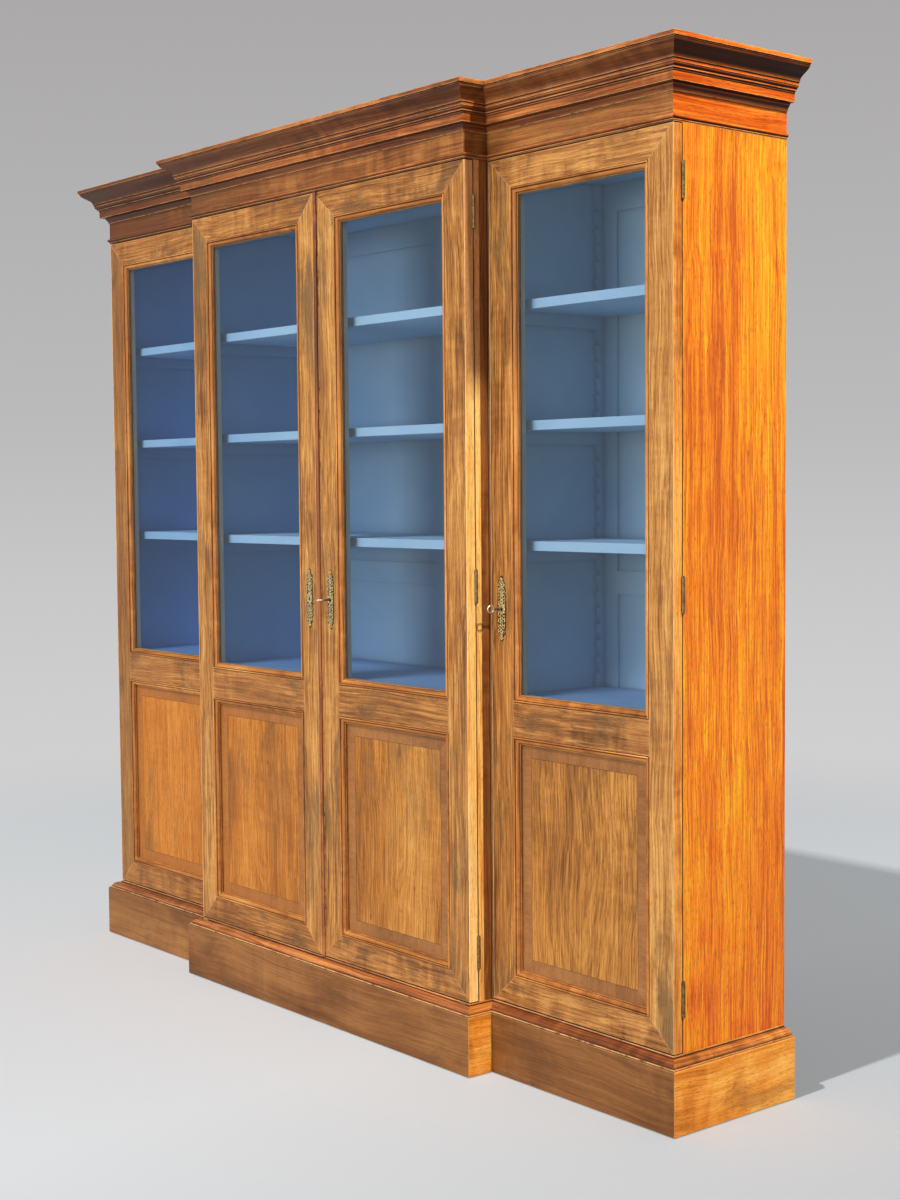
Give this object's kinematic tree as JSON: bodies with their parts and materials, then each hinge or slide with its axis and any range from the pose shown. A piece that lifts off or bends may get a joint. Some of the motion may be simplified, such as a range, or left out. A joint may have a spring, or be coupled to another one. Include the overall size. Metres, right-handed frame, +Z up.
{
  "type": "breakfront bookcase",
  "caption": "Mahogany breakfront bookcase with glazed and panelled doors, moulded cornice and plinth, painted inside, on sawtooth shelf supports.",
  "frame": {"origin": "on the floor under the middle of the whole bookcase", "axes": "+X to the right of someone facing the doors, +Y from the doors to the back, +Z up"},
  "size_m": [2.508, 0.501, 2.3],
  "materials": {
    "mahogany": "waxed figured mahogany, golden brown",
    "blue_paint": "wood painted in eggshell mid blue",
    "glass": "clear old sheet glass",
    "brass": "aged polished brass",
    "steel": "worn key steel"
  },
  "bodies": {
    "carcass": {"plinth": "mahogany", "right_side": "mahogany", "left_side": "mahogany", "right_partition": "mahogany", "left_partition": "mahogany", "frieze": "mahogany", "cornice_moulding": "mahogany", "bottom_board": "blue_paint", "top_board": "blue_paint", "back_panelling": "blue_paint", "left_middle_board": "blue_paint", "left_lower_shelf": "blue_paint", "left_shelf_1": "blue_paint", "left_shelf_2": "blue_paint", "left_shelf_3": "blue_paint", "centre_middle_board": "blue_paint", "centre_lower_shelf": "blue_paint", "centre_shelf_1": "blue_paint", "centre_shelf_2": "blue_paint", "centre_shelf_3": "blue_paint", "right_middle_board": "blue_paint", "right_lower_shelf": "blue_paint", "right_shelf_1": "blue_paint", "right_shelf_2": "blue_paint", "right_shelf_3": "blue_paint", "left_wing_hinge_bottom": "brass", "left_wing_hinge_middle": "brass", "left_wing_hinge_top": "brass", "left_centre_hinge_bottom": "brass", "left_centre_hinge_middle": "brass", "left_centre_hinge_top": "brass", "right_centre_hinge_bottom": "brass", "right_centre_hinge_middle": "brass", "right_centre_hinge_top": "brass", "right_wing_hinge_bottom": "brass", "right_wing_hinge_middle": "brass", "right_wing_hinge_top": "brass"},
    "left_wing_door": {"left_wing_door_frame": "mahogany", "left_wing_door_panel": "mahogany", "left_wing_door_glass": "glass", "left_wing_escutcheon": "brass"},
    "left_centre_door": {"left_centre_door_frame": "mahogany", "left_centre_door_panel": "mahogany", "left_centre_door_glass": "glass", "left_centre_escutcheon": "brass"},
    "right_centre_door": {"right_centre_door_frame": "mahogany", "right_centre_door_panel": "mahogany", "right_centre_door_glass": "glass", "right_centre_escutcheon": "brass"},
    "right_wing_door": {"right_wing_door_frame": "mahogany", "right_wing_door_panel": "mahogany", "right_wing_door_glass": "glass", "right_wing_escutcheon": "brass"},
    "left_wing_bolt": {"left_wing_lock_bolt": "brass"},
    "right_centre_bolt": {"right_centre_lock_bolt": "brass"},
    "right_wing_bolt": {"right_wing_lock_bolt": "brass"},
    "right_centre_key_body": {"right_centre_key": "steel"},
    "right_wing_key_body": {"right_wing_key": "steel"},
    "top_slide_bolt_body": {"top_slide_bolt": "brass"},
    "bottom_slide_bolt_body": {"bottom_slide_bolt": "brass"}
  },
  "joints": [
    {"name": "left_wing_door_hinge", "type": "hinge", "parent": "carcass", "child": "left_wing_door", "pos_m": [-1.187, -0.08225, 1.15], "axis": [0, 0, -1], "range_deg": [0, 180]},
    {"name": "left_centre_door_hinge", "type": "hinge", "parent": "carcass", "child": "left_centre_door", "pos_m": [-0.595, -0.15325, 1.15], "axis": [0, 0, -1], "range_deg": [0, 180]},
    {"name": "right_centre_door_hinge", "type": "hinge", "parent": "carcass", "child": "right_centre_door", "pos_m": [0.595, -0.15325, 1.15], "axis": [0, 0, 1], "range_deg": [0, 120]},
    {"name": "right_wing_door_hinge", "type": "hinge", "parent": "carcass", "child": "right_wing_door", "pos_m": [1.187, -0.08225, 1.15], "axis": [0, 0, 1], "range_deg": [0, 180]},
    {"name": "right_centre_key_turn", "type": "hinge", "parent": "right_centre_door", "child": "right_centre_key_body", "pos_m": [0.048, -0.179, 1.098], "axis": [0, -1, 0], "range_deg": [0, 180]},
    {"name": "right_wing_key_turn", "type": "hinge", "parent": "right_wing_door", "child": "right_wing_key_body", "pos_m": [0.633, -0.108, 1.098], "axis": [0, -1, 0], "range_deg": [0, 180]},
    {"name": "left_wing_bolt_slide", "type": "slide", "parent": "left_wing_door", "child": "left_wing_bolt", "axis": [1, 0, 0], "range_m": [0, 0.014]},
    {"name": "right_centre_bolt_slide", "type": "slide", "parent": "right_centre_door", "child": "right_centre_bolt", "axis": [-1, 0, 0], "range_m": [0, 0.014]},
    {"name": "right_wing_bolt_slide", "type": "slide", "parent": "right_wing_door", "child": "right_wing_bolt", "axis": [-1, 0, 0], "range_m": [0, 0.014]},
    {"name": "top_slide_bolt_slide", "type": "slide", "parent": "left_centre_door", "child": "top_slide_bolt_body", "axis": [0, 0, 1], "range_m": [0, 0.012]},
    {"name": "bottom_slide_bolt_slide", "type": "slide", "parent": "left_centre_door", "child": "bottom_slide_bolt_body", "axis": [0, 0, -1], "range_m": [0, 0.012]}
  ],
  "couplings": [
    {"joint": "right_centre_bolt_slide", "follows": "right_centre_key_turn", "m_per_rad": 0.004425},
    {"joint": "right_wing_bolt_slide", "follows": "right_wing_key_turn", "m_per_rad": 0.004425}
  ]
}
